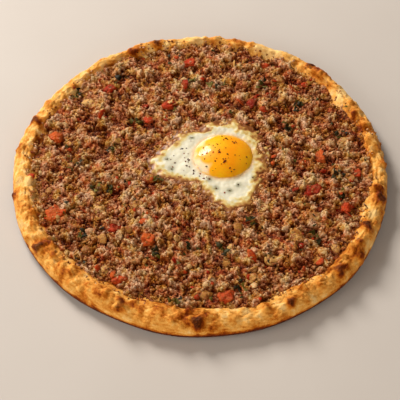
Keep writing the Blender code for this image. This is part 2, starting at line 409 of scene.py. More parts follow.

# %% [markdown]
# ## Blisters
#
# In a very hot oven, gas pockets near the skin swell into blisters, and their thin tops scorch
# first. The large ones are listed one by one, as (angle, lean, radius, height, char): the lean
# says how far over the rim they sit. Hundreds of small ones are drawn at random. A blister's
# bump is (1 - d^2)^1.5, where d is the distance from its middle over its radius.

# %% Blisters
BLISTERS = (
    (159, 75, 5.0, 1.2, 0.9), (171, 60, 5.0, 1.0, 0.55), (188, 25, 4.0, 0.6, 0.9),
    (192, 60, 3.5, 0.7, 0.5), (196, 75, 4.0, 0.9, 0.35), (205, 30, 4.5, 0.6, 0.6),
    (211, 60, 6.0, 1.6, 1.0), (221, 90, 3.5, 1.0, 0.5), (225, 95, 4.0, 1.1, 0.4),
    (231, 130, 2.5, 0.7, 1.0), (239, 85, 5.0, 1.4, 0.6), (245, 70, 6.5, 1.8, 0.85),
    (254, 35, 4.0, 0.8, 0.4), (269, 65, 7.0, 1.7, 1.0), (280, 75, 4.5, 1.0, 0.4),
    (293, 45, 4.0, 0.8, 0.4), (298, 70, 5.0, 1.3, 0.9), (309, 75, 4.0, 1.0, 0.45),
    (317, 85, 6.0, 1.5, 0.85), (326, 40, 6.0, 0.8, 0.7), (337, 95, 4.0, 1.2, 1.0),
    (349, 60, 6.0, 1.2, 1.0), (3, 60, 4.0, 0.7, 0.6), (25, 95, 5.0, 1.0, 0.5),
    (39, 110, 4.0, 0.9, 0.5), (51, 65, 6.0, 1.1, 1.0), (60, 100, 4.5, 1.0, 0.4),
    (76, 95, 4.0, 1.0, 0.5), (88, 95, 5.0, 1.0, 0.45), (105, 75, 6.5, 1.2, 0.95),
    (118, 90, 3.5, 0.9, 0.7), (133, 90, 4.0, 0.9, 0.5), (139, 100, 4.0, 0.9, 0.6),
    (150, 85, 4.5, 1.0, 0.6),
)
PUFF_COUNT = 90
BUBBLE_COUNT = 620


def blister_table():
    """All blisters as columns: angle, lean, radius, height and char, lengths in metres."""
    draw = np.random.default_rng(11)
    placed = np.array(BLISTERS, float)
    puffs = np.column_stack([
        draw.uniform(0, 360, PUFF_COUNT), draw.normal(125, 22, PUFF_COUNT),
        draw.uniform(3.0, 6.0, PUFF_COUNT), draw.uniform(0.8, 2.0, PUFF_COUNT),
        draw.uniform(-0.15, 0.4, PUFF_COUNT)])
    bubbles = np.column_stack([
        draw.uniform(0, 360, BUBBLE_COUNT), draw.uniform(25, 165, BUBBLE_COUNT),
        draw.gamma(4.0, 0.42, BUBBLE_COUNT) + 0.6, draw.uniform(0.15, 0.55, BUBBLE_COUNT),
        draw.uniform(-0.2, 0.3, BUBBLE_COUNT)])
    table = np.concatenate([placed, puffs, bubbles])
    table[:, :2] = np.radians(table[:, :2])
    table[:, 2:4] *= MM
    return table


blisters = blister_table()
print("blisters:", len(BLISTERS), "placed,", PUFF_COUNT + BUBBLE_COUNT, "drawn")

# %% [markdown]
# ## The bread's skin
#
# The skin is one closed grid. Rows go from the middle of the underside out, up over the rim,
# and back to the middle under the topping, with most rows on the rim, where the eye goes.
# Each point of the rim is then pushed out along the section's own direction by broad lumps,
# fine grain and blisters. Two numbers stay at every vertex for the finish: how far the dough
# has browned, and how far it has scorched.

# %% The bread's skin
RIM_COLUMNS = 900
ARC_ROWS = 58
APRON_ROWS = 14
TUCK_ROWS = 9
ARC_END = np.radians(122)
APRON_LENGTH = 13.0 * MM
APRON_HEIGHT = 8.0 * MM
UNDER_SHARES = (0.4, 0.75, 0.92, 0.99)
FLOOR_SHARES = (0.98, 0.7, 0.35)


def bread_section(angle):
    """Radius, height and outward lean of each row of the skin, before any lump is added.

    Flat underside, a quarter ellipse tucked under the edge, the rim's half ellipse as far as
    the topping, an apron that sinks gently under it, and a flat floor.
    """
    edge = bread_edge(angle)
    half = rim_width(angle) / 2
    rise = rim_height(angle) - RIM_BELLY
    flat = np.zeros_like(angle)
    under = np.array(UNDER_SHARES)[:, None]
    tuck = np.radians(np.linspace(90, 9, TUCK_ROWS))[:, None]
    lean = np.linspace(0, ARC_END, ARC_ROWS)[:, None]
    arc_radius, arc_height = rim_arc(angle, lean)
    apron = np.linspace(0, 1, APRON_ROWS + 1)[1:, None]
    sink = (arc_height[-1] - APRON_HEIGHT) * (1 - apron) ** 3
    floor_share = np.array(FLOOR_SHARES)[:, None]
    apron_radius = arc_radius[-1] - APRON_LENGTH * apron
    radius = np.concatenate([
        under * (edge - UNDER_TUCK), edge - UNDER_TUCK * (1 - np.cos(tuck)), arc_radius,
        apron_radius, floor_share * apron_radius[-1]])
    height = np.concatenate([
        0 * under + flat, RIM_BELLY * (1 - np.sin(tuck)) + flat, arc_height,
        APRON_HEIGHT + sink, 0 * floor_share + flat + BASE_THICKNESS])
    steep = np.arctan2(np.sin(lean) * half, np.cos(lean) * rise)
    outward = np.concatenate([0 * under + flat, 0 * tuck + flat, steep,
                              0 * apron + flat + np.radians(95), 0 * floor_share + flat])
    return radius, height, outward


def blister_relief(angle, over):
    """Swelling, browning and scorching of all blisters, on a grid of way over the rim (in
    radians of lean) by angle."""
    section = rim_width(angle) / 2 * 1.05
    swelling = np.zeros((len(over), len(angle)))
    browned = np.zeros_like(swelling)
    scorched = np.zeros_like(swelling)
    for middle, tilt, size, height, char in blisters:
        turn = (angle - middle + np.pi) % (2 * np.pi) - np.pi
        near = np.abs(turn) * BREAD_RADIUS < 2.2 * size
        along = turn[near] * BREAD_RADIUS
        across = (over[:, None] - tilt) * section[near]
        wobble = 1 + 0.22 * np.sin(3 * np.arctan2(across, along) + middle * 40)
        away = np.hypot(along, across) / (size * wobble)
        swelling[:, near] += 1.9 * height * np.clip(1 - away ** 2, 0, 1) ** 1.5
        browned[:, near] += 0.5 * char * np.exp(-(away / 1.05) ** 2)
        burn = np.clip(1.6 * char - 0.75, 0, 1) * smooth_step(-away, -0.95, -0.2)
        scorched[:, near] = np.maximum(scorched[:, near], burn)
    return swelling, browned, scorched


def dough_puffs(points):
    """Soft round puffs with creases between: two sizes of cells, each (1 - 1.3 d^2)."""
    large, _, which = cells(points, 11 * MM, 6)
    small, _, other = cells(points, 5.5 * MM, 16)
    return ((1 - 1.3 * large ** 2) * (0.4 + which), (1 - 1.3 * small ** 2) * (0.3 + other))


def browning(points, angle, over, large, small):
    """How far the dough has browned: patches of two sizes, more on the puffs' tops and on the
    right, most at the outer foot, and tan on the inner side where the juices ran. It is lower at
    the back of the rim, which paints light on the back rim's inner face where it lies in shade."""
    patches = 0.27 + 0.10 * waves(points, 30 * MM, 4) + 0.11 * waves(points, 9 * MM, 5)
    # Painted light: the back of the rim is made paler, where its inner face turns away from the window.
    side = 0.05 * np.cos(angle - np.radians(-40)) - 0.13 * smooth_step(np.sin(angle), 0.3, 0.9)
    foot = 0.40 * smooth_step(-over, -0.35, 0.0)[:, None]
    inner = 0.10 * smooth_step(over, 2.0, 2.6)[:, None]
    on_top = smooth_step(over, 0.4, 1.3)[:, None]
    return patches + side + foot + inner + on_top * (0.16 * large + 0.18 * small - 0.18)


angle = np.linspace(0, 2 * np.pi, RIM_COLUMNS, endpoint=False)
radius, height, outward = bread_section(angle)
skin = np.stack([radius * np.cos(angle), radius * np.sin(angle), height], -1)
first = len(UNDER_SHARES) + TUCK_ROWS
arc = slice(first, first + ARC_ROWS + APRON_ROWS)
over = np.concatenate([np.linspace(0, ARC_END, ARC_ROWS),
                       ARC_END + np.linspace(0, 1.7, APRON_ROWS + 1)[1:]])
swelling, browned, scorched = blister_relief(angle, over)
large, small = dough_puffs(skin[arc])
lumps = 0.5 * waves(skin[arc], 16 * MM, 1) + 0.3 * waves(skin[arc], 6 * MM, 2)
puffed = smooth_step(over, 0.4, 1.3) * (1 - 0.9 * smooth_step(over, 1.5, 2.1))
puffs = (1.5 * large + 0.7 * small - 0.8) * puffed[:, None]
unrolled = np.stack(np.broadcast_arrays(
    0.3 * BREAD_RADIUS * np.cos(angle), 0.3 * BREAD_RADIUS * np.sin(angle),
    over[:, None] * rim_width(angle) / 2), -1)
wrinkles = waves(unrolled, 1.7 * MM, 8)
grain = 0.13 * waves(skin[arc], 2.2 * MM, 3) + 0.2 * wrinkles
push = np.zeros_like(radius)
foot = np.sqrt(np.sin(np.minimum(over, np.pi / 2)))[:, None]
calm = (1 - 0.7 * smooth_step(over, 1.9, 2.3))[:, None]
back = 1 - 0.55 * smooth_step(np.sin(angle), 0.2, 0.8)
push[arc] = (foot * (lumps + puffs * back + grain) * MM + swelling * back) * calm
skin += push[..., None] * np.stack([
    np.cos(outward) * np.cos(angle), np.cos(outward) * np.sin(angle), np.sin(outward)], -1)
bake = np.full_like(radius, 0.5)
bake[len(UNDER_SHARES):arc.start] = 0.95
bake[arc] = browning(skin[arc], angle, over, large, small) + browned - 0.05 * wrinkles
char = np.zeros_like(radius)
char[arc] = scorched
print("crust grid:", skin.shape[0], "rows of", skin.shape[1])

# %% [markdown]
# ## The bread's finish
#
# Baked dough is matte and goes from cream through gold and orange brown to nearly black. The
# browning number runs along a ramp of those colours. Fine noise is added before the ramp, so
# the colour breaks up into specks instead of being painted evenly, and the scorched places
# get a ramp of their own, purple brown with a paler bloom.

# %% The bread's finish
crust = Finish("baked crust", Roughness=0.6, Specular_IOR_Level=0.18)
crust.shader.inputs["Specular Tint"].default_value = (1.0, 0.7, 0.4, 1.0)
specks = crust.centred(crust.noise(1.6 * MM, 6.0, 0.75), 0.8)
patches = crust.centred(crust.noise(7 * MM, 3.0), 0.4)
level = crust.math("ADD", crust.attribute("bake"), crust.math("ADD", specks, patches))
dough_colour = crust.ramp(level, [
    (0.05, "F6C87E"), (0.25, "F0AE54"), (0.42, "DC9038"), (0.58, "BC6614"), (0.76, "803002"),
    (1.0, "401402")])
burn = crust.math("ADD", crust.attribute("char"), crust.centred(crust.noise(1.8 * MM, 4.0), 0.7))
burnt_colour = crust.ramp(crust.noise(1.3 * MM, 3.0), [(0.35, "2E0E02"), (0.7, "74360F")])
burnt = crust.ramp(burn, [(0.36, "000000"), (0.75, "F0F0F0")])
crust.link(crust.mix(burnt, dough_colour, burnt_colour), "Base Color")
crust.bump(crust.noise(1.6 * MM, 5.0, 0.7), 0.9 * MM)

quads, triangles, _ = shell_faces(*radius.shape)
bread = make_piece(
    "crust", with_poles(skin, (0, 0, 0), (0, 0, BASE_THICKNESS)), quads, triangles, crust,
    {"bake": with_poles(bake, 0.5, 0.3), "char": with_poles(char, 0, 0)})
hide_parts("dough")

# %% [markdown]
# ## The meat's relief
#
# Fried mince clings together: crumbs in curds of four millimetres, and those in clumps of
# nine, with dark gaps between them. Each size is a field of cells with bent borders, and each
# cell is a round dome of its own height. The meat, the crumbs and the egg's ragged edge all
# use the sum of the two, so it is one function.

# %% The meat's relief
MINCE_EDGE_LEAN = np.radians(126)
EGG_X, EGG_Y = 16.0 * MM, 13.0 * MM
WHITE_RADIUS = 31.0 * MM
WHITE_LOBES = ((188, 20, 26), (143, 6, 15), (81, 3, 14), (-77, 16, 27), (10, -2.5, 30))


def white_edge(angle):
    """Outline of the egg white about the yolk's middle: a circle with lobes where it ran out.

    A lobe is size * exp(-(turn / width)^2), its direction and width in degrees.
    """
    reach = WHITE_RADIUS + 0 * angle
    for direction, size, width in WHITE_LOBES:
        turn = (np.degrees(angle) - direction + 180) % 360 - 180
        reach = reach + size * MM * np.exp(-(turn / width) ** 2)
    return reach


def egg_distance(x, y):
    """How far a place lies outside the egg white's outline, in metres; negative inside."""
    turn = np.arctan2(y - EGG_Y, x - EGG_X)
    flat = np.stack([x, y], -1)
    ragged = 2.4 + 0.9 * waves(flat, 10 * MM, 34) + 1.1 * waves(flat, 4.5 * MM, 36)
    return np.hypot(x - EGG_X, y - EGG_Y) - white_edge(turn) - ragged * MM


def mince_edge(x, y):
    """How far a place lies inside the ragged line where the topping ends, in metres."""
    flat = np.stack([x, y], -1)
    ragged = 2.3 * waves(flat, 17 * MM, 31) + 1.5 * waves(flat, 6.5 * MM, 35) + 1.4
    return rim_arc(np.arctan2(y, x), MINCE_EDGE_LEAN)[0] + ragged * MM - np.hypot(x, y)


def domes(flat, size, seed):
    """Cells with bent borders: the dome (0.4 + n) sqrt(1 - (d / 0.85)^2) and the number n."""
    bend = np.stack([waves(flat, 0.8 * size, seed + 1), waves(flat, 0.8 * size, seed + 2)], -1)
    near, _, which = cells(flat + 0.17 * size * bend, size, seed)
    return (0.4 + which) * np.sqrt(np.clip(1 - (near / 0.85) ** 2, 0, 1)), which


def topping(flat):
    """The meat at flat places: its rise in mm, and its tone, redness and fatness of 0 to 1. The tone is high on
    the domes' tops and low in the gaps between them, as painted light and painted shade, with random tone on top
    of that.
    """
    clump, first = domes(flat, 8 * MM, 32)
    curd, second = domes(flat, 3.7 * MM, 41)
    grain, third = domes(flat, 1.45 * MM, 45)
    rise = 3.6 * clump + 1.6 * curd + 0.8 * grain - 4.5 + 0.5 * waves(flat, 20 * MM, 33)
    # Painted light and shade: the tone follows the heights of the clumps, curds and grains, lighter on their tops
    # and darker in the gaps; the next two lines add random tone.
    tone = -0.21 + 0.26 * clump + 0.27 * curd + 0.52 * grain
    tone += 0.20 * (first + second - 1) + 0.08 * third
    tone += 0.08 * waves(flat, 24 * MM, 54) + 0.05 * waves(flat, 12 * MM, 57)
    redness = 0.30 + 0.36 * waves(flat, 24 * MM, 51) + 0.36 * waves(flat, 10 * MM, 55)
    fatness = 0.28 + 0.34 * waves(flat, 16 * MM, 52) + 0.36 * waves(flat, 9 * MM, 56)
    return rise, tone, np.clip(redness, 0, 1), np.clip(fatness, 0, 1)


around_once = np.linspace(0, 2 * np.pi, 720, endpoint=False)
print("egg white reaches from", (white_edge(around_once).min() / MM).round(1), "to",
      (white_edge(around_once).max() / MM).round(1), "mm")

# %% [markdown]
# ## Diced chunks
#
# Tomato and onion were cut into dice and softened in the oven. A die is a ball whose three
# coordinates are raised to a power below one, which pushes it out towards the corners of a
# box; low waves then soften and wrinkle it. Each die takes its place, its size and its turn
# from the frame's own solid: the solid's vertices give the middle and, by their spread, the
# two long directions.

# %% Diced chunks
DIE_ROWS = 18
DIE_COLUMNS = 30
DIE_SHRINK = 0.92
DIE_SINK = 1.4 * MM


def ball_grid(rows, columns):
    """Directions from the middle of a ball, row by row from top to bottom, without poles."""
    tilt = np.linspace(0, np.pi, rows + 2)[1:-1, None]
    turn = np.linspace(0, 2 * np.pi, columns, endpoint=False)
    return np.stack([np.sin(tilt) * np.cos(turn), np.sin(tilt) * np.sin(turn),
                     np.cos(tilt) + 0 * turn], -1)


def chunk_frame(node):
    """Middle, turn about Z and half sizes of a CAD chunk, from its own vertices."""
    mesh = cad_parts[node].data
    points = np.zeros(len(mesh.vertices) * 3)
    mesh.vertices.foreach_get("co", points)
    points = points.reshape(-1, 3)
    low, high = points.min(0), points.max(0)
    middle = (low + high) / 2
    flat = (points - middle)[:, :2]
    spread, axes = np.linalg.eigh(flat.T @ flat)
    turn = np.arctan2(axes[1, 1], axes[0, 1])
    along = flat @ np.array([np.cos(turn), np.sin(turn)])
    across = flat @ np.array([-np.sin(turn), np.cos(turn)])
    return middle, turn, np.array([np.ptp(along), np.ptp(across), high[2] - low[2]]) / 2


def die_points(directions, middle, turn, half, squareness, wrinkle, seed):
    """A soft die: sign(d) |d|^squareness times the half sizes, wrinkled, turned and placed."""
    boxy = np.sign(directions) * np.abs(directions) ** squareness * half
    bulge = 1 + wrinkle * waves(directions, 1.3, seed) + 0.6 * wrinkle * waves(directions, 0.5, seed + 1)
    shape = boxy * bulge[..., None]
    flat_x = shape[..., 0] * np.cos(turn) - shape[..., 1] * np.sin(turn)
    flat_y = shape[..., 0] * np.sin(turn) + shape[..., 1] * np.cos(turn)
    return middle + np.stack([flat_x, flat_y, shape[..., 2]], -1)


def make_die(node, name, finish, squareness, wrinkle, seed):
    """Replace one CAD chunk by a finely made die."""
    middle, turn, half = chunk_frame(node)
    grid = ball_grid(DIE_ROWS, DIE_COLUMNS)
    middle[2] -= DIE_SINK
    poles = np.array([[0, 0, 1.0], [0, 0, -1.0]])
    shrunk = half * (DIE_SHRINK, DIE_SHRINK, 1.0)
    points = die_points(grid, middle, turn, shrunk, squareness, wrinkle, seed)
    ends = die_points(poles, middle, turn, shrunk, squareness, wrinkle, seed)
    quads, triangles, _ = shell_faces(DIE_ROWS, DIE_COLUMNS)
    tone = np.random.default_rng(seed).uniform(0, 1)
    piece = make_piece(name, with_poles(points, *ends), quads, triangles, finish,
                       {"tone": np.full(DIE_ROWS * DIE_COLUMNS + 2, tone)})
    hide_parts(node)
    return middle, half


tomato = Finish("cooked tomato", Roughness=0.4, Specular_IOR_Level=0.2)
tomato.shader.inputs["Specular Tint"].default_value = (1.0, 0.5, 0.3, 1.0)
shade = tomato.math("ADD", tomato.attribute("tone"), tomato.centred(tomato.noise(3 * MM, 5.0, 0.7), 1.6))
flesh = tomato.ramp(shade, [(0.0, "760E00"), (0.35, "A82208"), (0.7, "BC3611"), (1.0, "CA5A1E")])
stuck = tomato.ramp(tomato.noise(5 * MM, 4.0, 0.65), [(0.42, "000000"), (0.64, "D8D8D8")])
tomato.link(tomato.mix(stuck, flesh, "8A4420"), "Base Color")
tomato.bump(tomato.noise(1.6 * MM, 4.0, 0.65), 1.1 * MM)

onion = Finish("softened onion", Roughness=0.38, Specular_IOR_Level=0.3, Subsurface_Weight=0.25, Subsurface_Scale=2 * MM)
onion.shader.inputs["Specular Tint"].default_value = (1.0, 0.8, 0.55, 1.0)
onion.shader.inputs["Subsurface Radius"].default_value = (1.0, 0.5, 0.2)
shade = onion.math("ADD", onion.attribute("tone"), onion.centred(onion.noise(5 * MM, 4.0), 0.8))
clear = onion.ramp(shade, [(0.0, "8A5218"), (0.4, "B47A34"), (0.7, "CC9A54"), (1.0, "DAB684")])
clinging = onion.ramp(onion.noise(2.2 * MM, 3.0, 0.6), [(0.5, "000000"), (0.58, "FFFFFF")])
onion.link(onion.mix(clinging, clear, "96562A"), "Base Color")
onion.bump(onion.noise(1.6 * MM, 4.0, 0.65), 0.9 * MM)

chunks = []
for node in sorted(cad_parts):
    if node.startswith("tomato"):
        chunks.append(make_die(node, "diced_" + node, tomato, 0.7, 0.2, 300 + len(chunks)))
    if node.startswith("onion"):
        chunks.append(make_die(node, "diced_" + node, onion, 0.74, 0.16, 300 + len(chunks)))
print("diced chunks:", len(chunks))

# %% [markdown]
# ## The meat
#
# The meat is one skin with the relief above, brown in most places and redder or paler from
# curd to curd, as the juice, the tomato and the fat soaked in. The gaps stay dark, because the
# relief shades them and because shade is painted into them too: the tone is set low in the gaps
# and high on the tops of the curds, as painted shade and painted light. It sinks under the egg
# and under the diced chunks, and ends in a ragged line against the rim.

# %% The meat
CORE_RINGS = (("mince_core", 0, 45, 540, 86), ("mince_ring", 44, 85, 1040, 77),
              ("mince_border", 84, 130, 1400, 66))
UNDER_MINCE = 5.5 * MM


def over_chunks(flat, margin):
    """0 to 1: how far a place lies within one of the diced chunks, with a soft margin."""
    covered = np.zeros(flat.shape[:-1])
    for middle, half in chunks:
        away = np.linalg.norm(flat - middle[:2], axis=-1) - DIE_SHRINK * half[:2].mean()
        covered = np.maximum(covered, smooth_step(-away, -margin, margin))
    return covered


def meat_height(flat):
    """Height of the meat: the topping's surface and its relief, lower under a chunk."""
    level = mince_surface(flat[..., 0], flat[..., 1]) - 0.5 * MM
    under = over_chunks(flat, 1.2 * MM)
    by_egg = smooth_step(-egg_distance(flat[..., 0], flat[..., 1]), -5 * MM, 3 * MM)
    return level + (topping(flat)[0] * (1 - 0.6 * under) * (1 - 0.5 * by_egg) - 0.9 * under) * MM


def core_height(flat):
    """The meat's height with its dip under the egg."""
    dip = smooth_step(-egg_distance(flat[..., 0], flat[..., 1]), 6 * MM, 12 * MM)
    return meat_height(flat) * (1 - dip) + 6.0 * MM * dip


def meat_reach(angle):
    """Outer radius of the meat: the rim's inner slope, or the ragged line where that is less."""
    reach = rim_arc(angle, MINCE_EDGE_LEAN)[0]
    for step in range(3):
        reach = reach + np.minimum(mince_edge(reach * np.cos(angle), reach * np.sin(angle)), 0)
    return reach


def make_ring(name, inner, outer, columns, rows):
    """One ring of the meat's skin, closed below: two low rows, the relief from the outer radius
    to the inner one, and a low row that covers the middle where the ring inside it lies."""
    angle = np.linspace(0, 2 * np.pi, columns, endpoint=False)
    limit = np.minimum(meat_reach(angle), outer)
    share = np.linspace(0, 1, rows)[:, None]
    top_radius = limit * (1 - share) + max(inner, 0.5 * MM) * share
    flat = np.stack([top_radius * np.cos(angle), top_radius * np.sin(angle)], -1)
    edge_drop = 3.2 * MM * smooth_step(top_radius - meat_reach(angle), -2.2 * MM, 0)
    floor_height = BASE_THICKNESS + 0.3 * MM
    last = np.full((1, columns), UNDER_MINCE) if inner else core_height(flat[-1:])
    radius = np.concatenate([0.5 * limit[None], limit[None], top_radius, 0.98 * top_radius[-1:]])
    height = np.concatenate([np.full((2, columns), floor_height), core_height(flat) - edge_drop, last])
    skin = np.stack([radius * np.cos(angle), radius * np.sin(angle), height], -1)
    top = UNDER_MINCE if inner else core_height(np.zeros((1, 2)))[0]
    # The tone carries the painted light and painted shade of the relief.
    _, *numbers = topping(flat)
    numbers = {key: with_poles(values[np.r_[0, 0, 0:rows, rows - 1]], 0.3, 0.3)
               for key, values in zip(("tone", "redness", "fatness"), numbers)}
    quads, triangles, _ = shell_faces(*radius.shape)
    return make_piece(name, with_poles(skin, (0, 0, floor_height), (0, 0, top)), quads, triangles,
                      meat, numbers)


meat = Finish("fried meat", Roughness=0.36, Specular_IOR_Level=0.25)
meat.shader.inputs["Specular Tint"].default_value = (1.0, 0.55, 0.3, 1.0)
grain = meat.centred(meat.noise(1.7 * MM, 5.0, 0.7), 1.0)
knobs = meat.knobs(1.1 * MM)
# The knobs also set the colour: lighter on each knob's top and darker in the creases, as painted light and
# painted shade; they raise the bump as well.
level = meat.math("ADD", meat.attribute("tone"), meat.math("ADD", grain, meat.centred(knobs, 0.3)))
brown = meat.ramp(level, [
    (0.0, "380300"), (0.3, "802E0C"), (0.55, "B66C40"), (0.8, "DA9A6E"), (1.0, "F0C29A")])
red = meat.ramp(level, [
    (0.0, "460200"), (0.3, "922A08"), (0.55, "C85A26"), (0.8, "E48A50"), (1.0, "F2B282")])
tan = meat.ramp(level, [
    (0.0, "421000"), (0.3, "8E4404"), (0.55, "C47E28"), (0.8, "E0A650"), (1.0, "F0CA88")])
khaki = meat.ramp(level, [
    (0.0, "361000"), (0.3, "703E12"), (0.55, "A27640"), (0.8, "CAA272"), (1.0, "E8CCA2")])
greyed = meat.ramp(meat.noise(10 * MM, 2.0), [(0.46, "000000"), (0.64, "A8A8A8")])
brown = meat.mix(greyed, brown, khaki)
reddened = meat.mix(meat.attribute("redness"), brown, red)
meat.link(meat.mix(meat.attribute("fatness"), reddened, tan), "Base Color")
rough = meat.math("ADD", knobs, meat.noise(1.3 * MM, 5.0, 0.7))
meat.bump(rough, 0.9 * MM)

rings = [make_ring(name, inner * MM, outer * MM, columns, rows)
         for name, inner, outer, columns, rows in CORE_RINGS]
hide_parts("mince")

# %% [markdown]
# ## Many small lumps
#
# Crumbs of fried mince, small bits of tomato and onion, and ground pepper are all the same
# idea: a few base lumps, each repeated hundreds of times, joined into one mesh. A base lump
# has sixty-four triangles. Placing them is one array product: each copy's own turn and size
# times the base lump, plus its place. Each copy also gets its own cell of the texture map and
# its own tone, so that no two look alike.

# %% Many small lumps
LUMP_KINDS = 24


def base_lumps(rows, columns, seed, knobs, cuts):
    """A stack of lumps: balls with knobs (waves over the directions), then broken off flat by
    random planes: the radius is at most d / (n . direction) for a plane d away, facing n."""
    grid = with_poles(ball_grid(rows, columns), (0, 0, 1.0), (0, 0, -1.0))
    draw = np.random.default_rng(seed)
    kinds = []
    for kind in range(LUMP_KINDS):
        swell = 1 + knobs * waves(grid, 1.6, seed + kind) + 0.6 * knobs * waves(grid, 0.9, seed + 50 + kind)
        facing = draw.normal(size=(cuts, 3))
        facing /= np.linalg.norm(facing, axis=1, keepdims=True)
        limit = draw.uniform(0.55, 0.95, cuts) / np.maximum(grid @ facing.T, 0.05)
        kinds.append(grid * np.minimum(swell, limit.min(1))[:, None])
    return np.stack(kinds)


def random_turns(draw, count, tumble=1.0):
    """Rotation matrices from random quaternions; tumble below 1 keeps the lumps more level."""
    quaternion = draw.normal(size=(count, 4)) * (1.0, tumble, tumble, 1.0)
    w, x, y, z = (quaternion / np.linalg.norm(quaternion, axis=1, keepdims=True)).T
    return np.stack([
        np.stack([1 - 2 * (y * y + z * z), 2 * (x * y - w * z), 2 * (x * z + w * y)], -1),
        np.stack([2 * (x * y + w * z), 1 - 2 * (x * x + z * z), 2 * (y * z - w * x)], -1),
        np.stack([2 * (x * z - w * y), 2 * (y * z + w * x), 1 - 2 * (x * x + y * y)], -1)], 1)


def join_copies(name, shapes, places, turns, half_sizes, rows, columns, finish, numbers,
                lift=0.0):
    """Join one copy for each place: place + turn (half sizes * shape), with its own numbers and
    its own cell of the texture map. Its tone is higher by lift at its top than at its middle and
    lower underneath: painted light on top and painted shade below."""
    rises = np.einsum("nij,nvj->nvi", turns, shapes * half_sizes[:, None])
    points = places[:, None] + rises
    quads, triangles, corners = shell_faces(rows, columns)
    first = np.arange(len(places))[:, None, None] * shapes.shape[1]
    side = int(np.ceil(np.sqrt(len(places))))
    cell = np.stack([np.arange(len(places)) % side, np.arange(len(places)) // side], -1)
    corners = [(cell[:, None, None] + 0.1 + 0.8 * part).reshape(-1, part.shape[1], 2) / side
               for part in corners]
    numbers = {key: np.repeat(values, shapes.shape[1]) for key, values in numbers.items()}
    if lift:
        # Painted light and shade: the tone rises with height within each copy.
        numbers["tone"] += lift * (rises[..., 2] / half_sizes.mean(1)[:, None]).ravel()
    return make_piece(
        name, points.reshape(-1, 3), (quads + first).reshape(-1, 4),
        (triangles + first).reshape(-1, 3), finish, numbers, corners)


def make_lumps(name, places, half_sizes, finish, slot, seed, numbers, rows=3, columns=5,
               knobs=0.16, cuts=5, tumble=1.0, lift=0.0):
    """Scatter broken lumps at the places, each one a random kind at a random turn."""
    draw = np.random.default_rng(seed)
    kinds = base_lumps(rows, columns, seed, knobs, cuts)
    shapes = kinds[draw.integers(0, LUMP_KINDS, len(places))]
    turns = random_turns(draw, len(places), tumble)
    return join_copies(name, shapes, places, turns, half_sizes, rows, columns, finish,
                       numbers, lift)


print("triangles in a crumb:", 2 * 3 * 5)

# %% [markdown]
# ## Loose crumbs
#
# Loose crumbs lie on the meat's skin, half sunk into it, so that no crumb looks placed. They
# stand on a jittered honeycomb, which covers the bread without lining up. Each one takes its
# colour numbers from the meat below, and gets painted light on its top and painted shade on its
# underside; crumbs that sit higher are painted lighter. A few have rolled out onto the rim and
# over the egg's edge.

# %% Loose crumbs


def honeycomb(reach, spacing, seed, jitter=0.5):
    """Points of a honeycomb over a square, each moved by up to a share of the spacing."""
    draw = np.random.default_rng(seed)
    steps = np.arange(-int(reach / spacing) - 1, int(reach / spacing * 1.2) + 2)
    column, row = np.meshgrid(steps, steps)
    x = (column + 0.5 * (row % 2)) * spacing
    y = row * spacing * np.sqrt(3) / 2
    flat = np.stack([x.ravel(), y.ravel()], -1)
    return flat + draw.uniform(-jitter, jitter, flat.shape) * spacing


def bed(flat):
    """Height that a crumb's middle rests at: on the meat, the rim's inner slope or a chunk."""
    turn = np.arctan2(flat[:, 1], flat[:, 0])
    radius = np.hypot(flat[:, 0], flat[:, 1])
    width = rim_width(turn) / 2
    across = np.clip((bread_edge(turn) - width - radius) / width, -1, 1)
    slope = RIM_BELLY + (rim_height(turn) - RIM_BELLY) * np.sqrt(1 - across ** 2)
    on_rim = np.where(across < 0.8, slope + 0.7 * MM, 0)
    level = np.maximum(meat_height(flat), on_rim)
    for middle, half in chunks:
        away = np.linalg.norm(flat - middle[:2], axis=-1) / (DIE_SHRINK * half[:2].mean())
        top = middle[2] + 0.9 * half[2] * np.clip(1 - away ** 4, 0, 1) ** 0.25
        level = np.where(away < 1, np.maximum(level, top), level)
    return level


def lay_crumbs(spacing, seed):
    """Places of loose crumbs: on the meat, off the egg and the chunks, a few strays on the rim."""
    flat = honeycomb(127 * MM, spacing, seed)
    draw = np.random.default_rng(seed + 1)
    inside = mince_edge(*flat.T)
    stray = (inside > -4 * MM) & (draw.uniform(size=len(flat)) < 0.015)
    over_egg = (1.0 + 7.0 * draw.uniform(size=len(flat)) ** 2) * MM
    keep = ((inside > 0) | stray) & (egg_distance(*flat.T) > -over_egg)
    keep &= draw.uniform(size=len(flat)) > 0.5 * over_chunks(flat, 1.6 * MM)
    return flat[keep]


def scatter_meat(name, flat, low, high, seed, **shape):
    """Meat crumbs, half a width between low and high, half sunk into the meat."""
    draw = np.random.default_rng(seed)
    size = draw.uniform(low, high, len(flat))
    half = size[:, None] * draw.uniform(0.75, 1.4, (len(flat), 3)) * (1.0, 1.0, 0.7)
    rise = draw.uniform(-0.2, 0.4, len(flat)) * size
    _, tone, redness, fatness = topping(flat)
    # Crumbs that sit higher get a higher tone: painted light.
    numbers = {"tone": np.maximum(tone + draw.normal(0.0, 0.06, len(flat)) + 0.15 * rise / size, 0.12),
               "redness": redness, "fatness": fatness}
    places = np.column_stack([flat, bed(flat) + rise])
    # lift paints light on each crumb's top and shade on its underside.
    return make_lumps(name, places, half, meat, "mince", seed + 1, numbers, lift=0.22, tumble=0.35, **shape)


crumb_flat = lay_crumbs(3.1 * MM, 48)
one_half = np.random.default_rng(60).uniform(size=len(crumb_flat)) < 0.5
for name, flat, seed in (("crumbs", crumb_flat[one_half], 67), ("more_crumbs", crumb_flat[~one_half], 71)):
    scatter_meat(name, flat, 0.5 * MM, 1.1 * MM, seed, rows=3, columns=6, knobs=0.35, cuts=5)

